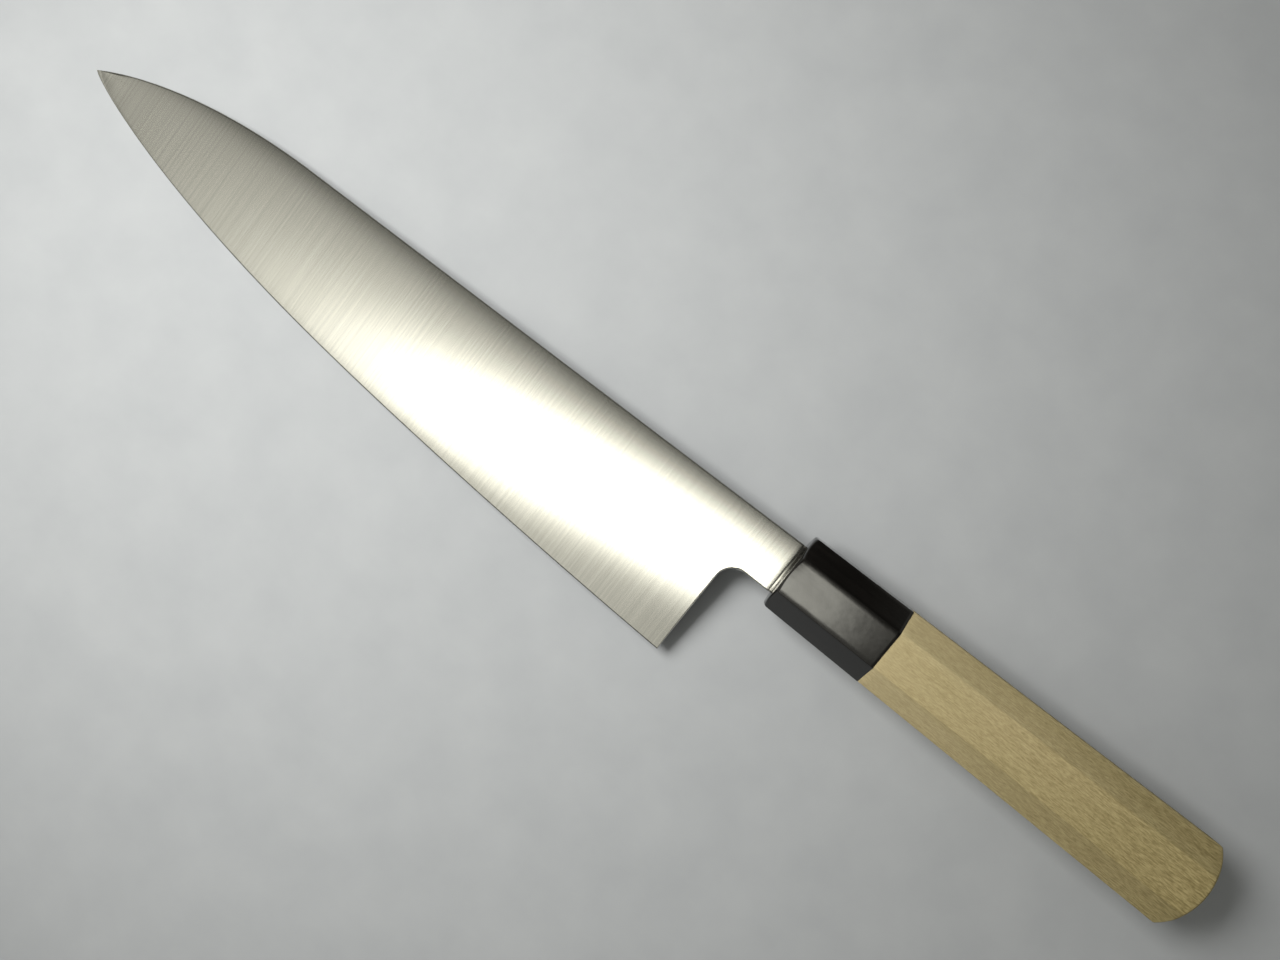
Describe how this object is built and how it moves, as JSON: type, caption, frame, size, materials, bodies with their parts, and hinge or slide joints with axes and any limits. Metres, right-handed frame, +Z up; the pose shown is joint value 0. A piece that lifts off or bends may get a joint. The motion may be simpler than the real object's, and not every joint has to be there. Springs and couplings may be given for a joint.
{
  "type": "chef's knife",
  "caption": "Japanese chef's knife: double-bevel steel blade on a hidden tang, dark horn ferrule and tapered octagonal magnolia handle with a domed butt.",
  "frame": {"origin": "on the surface that the knife lies on, under the centre of its bounding box", "axes": "+X from the tip to the butt along the knife, +Y towards the spine, +Z up, away from the surface; the knife lies on its right side in its natural rest"},
  "size_m": [0.3488, 0.049, 0.0242],
  "materials": {
    "blade_steel": "satin ground across the blade, with fine scratch lines from spine to edge",
    "tang_steel": "ground steel, a little duller than the blade",
    "horn": "near-black polished water buffalo horn",
    "ho_wood": "matte unvarnished pale magnolia with a short straight grain",
    "resin": "dark cast resin, matte"
  },
  "bodies": {
    "root": {"blade": "blade_steel", "tang": "tang_steel", "ferrule": "horn", "handle_body": "ho_wood", "mouth_seal": "resin", "tang_bedding": "resin"}
  },
  "joints": []
}
